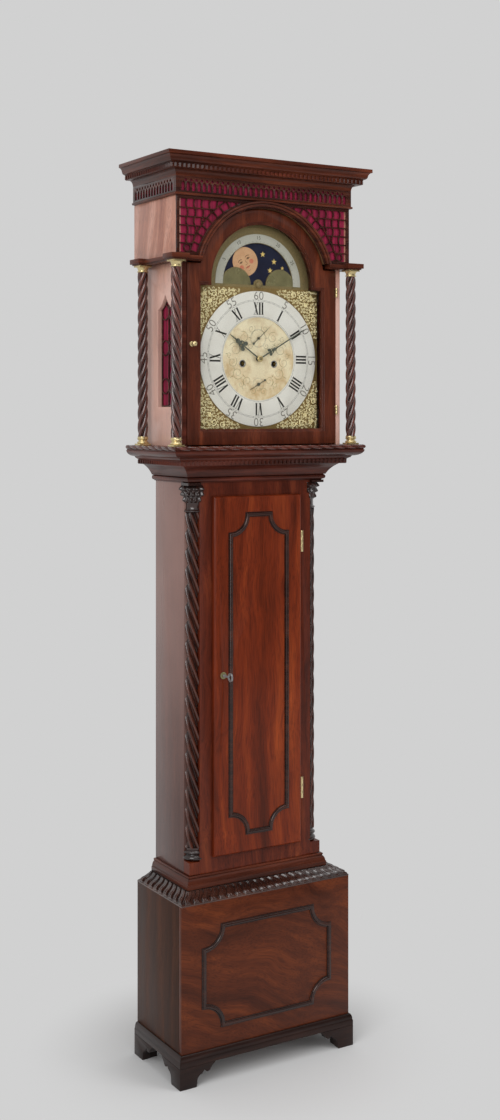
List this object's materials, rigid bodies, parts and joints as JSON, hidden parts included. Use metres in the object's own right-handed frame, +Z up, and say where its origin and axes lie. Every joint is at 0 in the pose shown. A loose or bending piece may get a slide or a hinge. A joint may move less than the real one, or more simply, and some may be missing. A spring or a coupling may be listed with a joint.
{
  "type": "longcase clock",
  "caption": "Tall pendulum clock: arched brass moon dial behind a glazed hood door, twisted columns, a waist with a long door and a panelled base on bracket feet.",
  "frame": {"origin": "centre of the clock's footprint on the floor, under the middle of its overall box", "axes": "+Z up, the dial faces -Y, +X to the right of a person who faces the dial"},
  "size_m": [0.55, 0.25, 2.09],
  "materials": {
    "front_veneer": "polished mahogany veneer with a lively figure",
    "side_veneer": "polished mahogany, plainer",
    "door_mahogany": "polished mahogany",
    "moulded_mahogany": "dark polished mahogany",
    "carved_mahogany": "nearly black polished mahogany",
    "carcass_oak": "plain sawn oak",
    "red_silk": "pleated silk",
    "clear_glass": "clear",
    "polished_brass": "polished",
    "dial_brass": "matted and engraved",
    "gilt_brass": "cast and gilt",
    "silvered_brass": "silvered, engraved and waxed",
    "moon_paint": "painted",
    "blued_steel": "blued",
    "movement_brass": "satin",
    "bell_metal": "cast and turned",
    "movement_steel": "satin",
    "gut": "twisted gut"
  },
  "bodies": {
    "case": {"bracket_feet": "carved_mahogany", "plinth_moulding": "moulded_mahogany", "base_front": "front_veneer", "base_panel_bead": "moulded_mahogany", "base_carcass": "side_veneer", "carved_moulding": "carved_mahogany", "waist_moulding": "moulded_mahogany", "backboard": "carcass_oak", "trunk_sides": "side_veneer", "trunk_front_frame": "front_veneer", "trunk_columns": "carved_mahogany", "throat_moulding": "moulded_mahogany", "seatboard": "carcass_oak", "trunk_hinge_leaves": "polished_brass", "dial_plate": "dial_brass", "chapter_ring": "silvered_brass", "dial_spandrels": "gilt_brass", "lunar_ring": "silvered_brass", "movement_plates": "movement_brass", "bell": "bell_metal", "going_line": "gut", "strike_line": "gut"},
    "hood": {"hood_base_frame": "moulded_mahogany", "hood_side_panels": "side_veneer", "hood_frets": "carved_mahogany", "hood_front_board": "carcass_oak", "hood_cornice": "moulded_mahogany", "hood_silk": "red_silk", "hood_arch_moulding": "moulded_mahogany", "hood_columns": "carved_mahogany", "hood_column_brasses": "polished_brass", "hood_hinge_leaves": "polished_brass"},
    "hood_door": {"hood_door_frame": "door_mahogany", "hood_door_glass": "clear_glass", "hood_door_knob": "polished_brass", "hood_door_hinge_leaves": "polished_brass"},
    "waist_door": {"trunk_door": "front_veneer", "trunk_door_bead": "moulded_mahogany", "trunk_door_hinge_leaves": "polished_brass", "trunk_lock": "polished_brass"},
    "key": {"trunk_key": "polished_brass"},
    "minute": {"minute_hand": "blued_steel"},
    "hour": {"hour_hand": "blued_steel"},
    "date": {"date_hand": "blued_steel"},
    "moon": {"moon_disc": "moon_paint"},
    "escape": {"escape_wheel": "movement_brass", "seconds_hand": "blued_steel"},
    "third": {"third_wheel": "movement_brass"},
    "centre": {"centre_wheel": "movement_brass"},
    "great": {"going_great_wheel": "movement_brass"},
    "pendulum": {"anchor": "movement_steel", "pendulum_rod": "movement_steel", "pendulum_bob": "movement_brass"},
    "hammer": {"bell_hammer": "movement_steel"},
    "weight_going": {"going_weight": "movement_brass"},
    "barrel_going": {"going_barrel": "movement_brass"},
    "pulley_going": {"going_pulley": "movement_brass"},
    "weight_strike": {"strike_weight": "movement_brass"},
    "barrel_strike": {"strike_barrel": "movement_brass"},
    "pulley_strike": {"strike_pulley": "movement_brass"}
  },
  "joints": [
    {"name": "hood_slide", "type": "slide", "parent": "case", "child": "hood", "axis": [0, -1, 0], "range_m": [0, 0.3]},
    {"name": "hood_door_hinge", "type": "hinge", "parent": "hood", "child": "hood_door", "pos_m": [0.2025, -0.0785, 1.655], "axis": [0, 0, 1], "range_deg": [0, 95]},
    {"name": "waist_door_hinge", "type": "hinge", "parent": "case", "child": "waist_door", "pos_m": [0.1235, -0.0463, 0.911], "axis": [0, 0, 1], "range_deg": [0, 110]},
    {"name": "key_turn", "type": "hinge", "parent": "waist_door", "child": "key", "pos_m": [-0.096, -0.065, 0.905], "axis": [0, 1, 0], "range_deg": [0, 90]},
    {"name": "minute_turn", "type": "hinge", "parent": "case", "child": "minute", "pos_m": [0, -0.0588, 1.635], "axis": [0, 1, 0], "continuous": true},
    {"name": "hour_turn", "type": "hinge", "parent": "case", "child": "hour", "pos_m": [0, -0.056, 1.635], "axis": [0, 1, 0], "continuous": true},
    {"name": "date_turn", "type": "hinge", "parent": "case", "child": "date", "pos_m": [0, -0.053, 1.5755], "axis": [0, 1, 0], "continuous": true},
    {"name": "moon_turn", "type": "hinge", "parent": "case", "child": "moon", "pos_m": [0, -0.0475, 1.808], "axis": [0, 1, 0], "continuous": true},
    {"name": "escape_turn", "type": "hinge", "parent": "case", "child": "escape", "pos_m": [0, 0.013, 1.683], "axis": [0, 1, 0], "continuous": true},
    {"name": "third_turn", "type": "hinge", "parent": "case", "child": "third", "pos_m": [-0.01244, 0.013, 1.66109], "axis": [0, 1, 0], "continuous": true},
    {"name": "centre_turn", "type": "hinge", "parent": "case", "child": "centre", "pos_m": [0, 0.013, 1.635], "axis": [0, 1, 0], "continuous": true},
    {"name": "great_turn", "type": "hinge", "parent": "case", "child": "great", "pos_m": [0.043, 0.035, 1.6235], "axis": [0, 1, 0], "continuous": true},
    {"name": "pendulum_swing", "type": "hinge", "parent": "case", "child": "pendulum", "pos_m": [0, 0.075, 1.716], "axis": [0, 1, 0], "range_deg": [-2.5, 2.5]},
    {"name": "hammer_lift", "type": "hinge", "parent": "case", "child": "hammer", "pos_m": [0.03, 0.013, 1.702], "axis": [0, 1, 0], "range_deg": [0, 12], "stiffness_Nm_per_rad": 0.15, "springref_deg": -17.19},
    {"name": "going_weight_run", "type": "slide", "parent": "case", "child": "weight_going", "axis": [0, 0, 1], "range_m": [-0.8, 0.35], "deforming": ["going_line"]},
    {"name": "going_barrel_turn", "type": "hinge", "parent": "case", "child": "barrel_going", "pos_m": [0.043, 0.009, 1.6235], "axis": [0, 1, 0], "range_deg": [-4000, 2000]},
    {"name": "going_pulley_turn", "type": "hinge", "parent": "weight_going", "child": "pulley_going", "pos_m": [0.0405, 0.013, 1.13], "axis": [0, 1, 0], "range_deg": [-2200, 1000]},
    {"name": "strike_weight_run", "type": "slide", "parent": "case", "child": "weight_strike", "axis": [0, 0, 1], "range_m": [-0.8, 0.35], "deforming": ["strike_line"]},
    {"name": "strike_barrel_turn", "type": "hinge", "parent": "case", "child": "barrel_strike", "pos_m": [-0.043, 0.009, 1.6235], "axis": [0, 1, 0], "range_deg": [-4000, 2000]},
    {"name": "strike_pulley_turn", "type": "hinge", "parent": "weight_strike", "child": "pulley_strike", "pos_m": [-0.0455, 0.013, 1.13], "axis": [0, 1, 0], "range_deg": [-2200, 1000]}
  ],
  "couplings": [
    {"joint": "hour_turn", "follows": "minute_turn", "ratio": 0.083333},
    {"joint": "date_turn", "follows": "minute_turn", "ratio": 0.0013441},
    {"joint": "moon_turn", "follows": "minute_turn", "ratio": 0.00070621},
    {"joint": "third_turn", "follows": "escape_turn", "ratio": -0.125},
    {"joint": "centre_turn", "follows": "escape_turn", "ratio": 0.016667},
    {"joint": "great_turn", "follows": "escape_turn", "ratio": -0.0013889},
    {"joint": "going_barrel_turn", "follows": "going_weight_run", "rad_per_m": 81.633},
    {"joint": "going_pulley_turn", "follows": "going_weight_run", "rad_per_m": 45.455},
    {"joint": "strike_barrel_turn", "follows": "strike_weight_run", "rad_per_m": 81.633},
    {"joint": "strike_pulley_turn", "follows": "strike_weight_run", "rad_per_m": 45.455}
  ]
}
